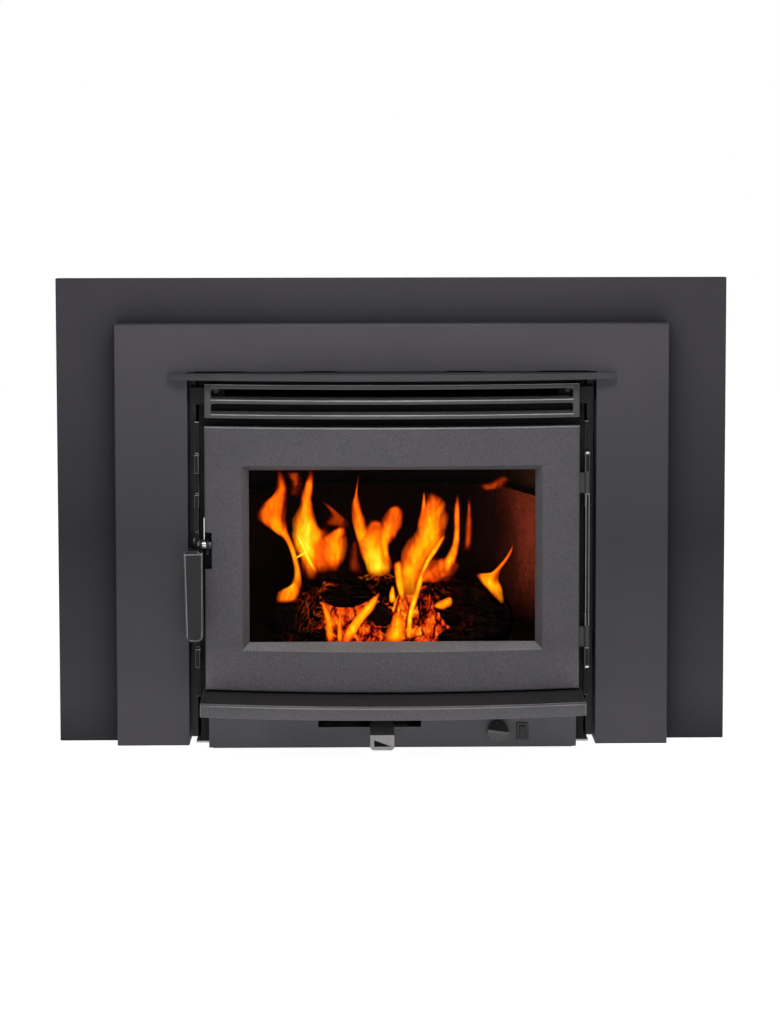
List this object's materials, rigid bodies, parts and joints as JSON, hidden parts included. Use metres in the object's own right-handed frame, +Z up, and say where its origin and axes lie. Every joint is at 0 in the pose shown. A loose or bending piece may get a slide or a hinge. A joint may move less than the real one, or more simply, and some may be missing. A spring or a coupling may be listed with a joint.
{
  "type": "wood fireplace insert",
  "caption": "Charcoal wood-burning fireplace insert with a stepped sheet surround, bowed cast door with glass, louvre grille, ash lip, latch handle and blower base.",
  "frame": {"origin": "on the hearth under the middle of the insert, in the plane of the fireplace facing", "axes": "+X to the viewer's right along the surround, +Y back into the fireplace, +Z up"},
  "size_m": [1.067, 0.605, 0.743],
  "materials": {
    "panel_paint": "fine satin charcoal paint",
    "cast_paint": "grainy charcoal stove paint on a casting",
    "stove_paint": "matt black stove paint",
    "firebox_steel": "sooty welded plate",
    "galvanised": "plain zinc sheet",
    "firebrick": "rough refractory brick",
    "baffle": "pressed refractory board",
    "glass": "clear ceramic glass",
    "rope": "braided glass-fibre rope and tape",
    "handle_iron": "satin black casting",
    "bright_steel": "bright zinc-plated steel",
    "black_plastic": "moulded black plastic",
    "black_rubber": "black moulded grommet",
    "motor_can": "black enamel"
  },
  "bodies": {
    "insert": {"outer_surround": "panel_paint", "inner_surround": "panel_paint", "canopy": "panel_paint", "ash_lip": "cast_paint", "grille": "cast_paint", "face_plate": "stove_paint", "left_column": "stove_paint", "right_column": "stove_paint", "base_fascia": "stove_paint", "grille_brackets": "stove_paint", "firebox_shell": "firebox_steel", "air_channels": "firebox_steel", "air_tubes": "firebox_steel", "air_duct": "firebox_steel", "flue_collar": "firebox_steel", "jacket_left": "galvanised", "jacket_right": "galvanised", "jacket_corners": "galvanised", "jacket_back": "galvanised", "jacket_top": "galvanised", "base_pan": "galvanised", "surround_straps": "galvanised", "damper_guides": "galvanised", "motor_cradle": "galvanised", "fan_scrolls": "galvanised", "floor_bricks": "firebrick", "left_bricks": "firebrick", "right_bricks": "firebrick", "back_bricks": "firebrick", "baffle_board": "baffle", "latch_keeper": "bright_steel", "hinge_pins": "bright_steel", "collar_bolts": "bright_steel", "grille_screws": "bright_steel", "speed_control": "black_plastic", "switch_bezel": "black_plastic", "heat_sensor": "black_plastic", "cord_inlet": "black_rubber", "fan_motor": "motor_can"},
    "door": {"door_frame": "cast_paint", "door_glass": "glass", "glass_tape": "rope", "door_rope": "rope", "glass_clips": "bright_steel", "clip_screws": "bright_steel", "latch_bracket": "handle_iron", "latch_spring": "bright_steel"},
    "handle": {"handle_grip": "handle_iron", "latch_lever": "handle_iron", "pivot_bolt": "bright_steel", "pivot_bush": "bright_steel", "pivot_nut": "bright_steel"},
    "air_control": {"air_tab": "bright_steel", "damper_plate": "galvanised"},
    "knob": {"speed_knob": "black_plastic"},
    "rocker": {"switch_rocker": "black_plastic"},
    "fan_rotor": {"fan_wheels": "galvanised", "fan_shaft": "bright_steel"}
  },
  "joints": [
    {"name": "door_hinge", "type": "hinge", "parent": "insert", "child": "door", "pos_m": [0.3093, -0.056, 0.296], "axis": [0, 0, 1], "range_deg": [0, 105]},
    {"name": "handle_lever", "type": "hinge", "parent": "door", "child": "handle", "pos_m": [-0.302, -0.066, 0.3235], "axis": [-1, 0, 0], "range_deg": [-6, 45]},
    {"name": "air_slide", "type": "slide", "parent": "insert", "child": "air_control", "axis": [1, 0, 0], "range_m": [-0.078, 0.04]},
    {"name": "speed_turn", "type": "hinge", "parent": "insert", "child": "knob", "pos_m": [0.1665, -0.07, 0.028], "axis": [0, 1, 0], "range_deg": [0, 270]},
    {"name": "rocker_tilt", "type": "hinge", "parent": "insert", "child": "rocker", "pos_m": [0.2055, -0.07, 0.0258], "axis": [1, 0, 0], "range_deg": [-7, 7]},
    {"name": "fan_spin", "type": "hinge", "parent": "insert", "child": "fan_rotor", "pos_m": [0, 0.13, 0.048], "axis": [1, 0, 0], "continuous": true}
  ]
}
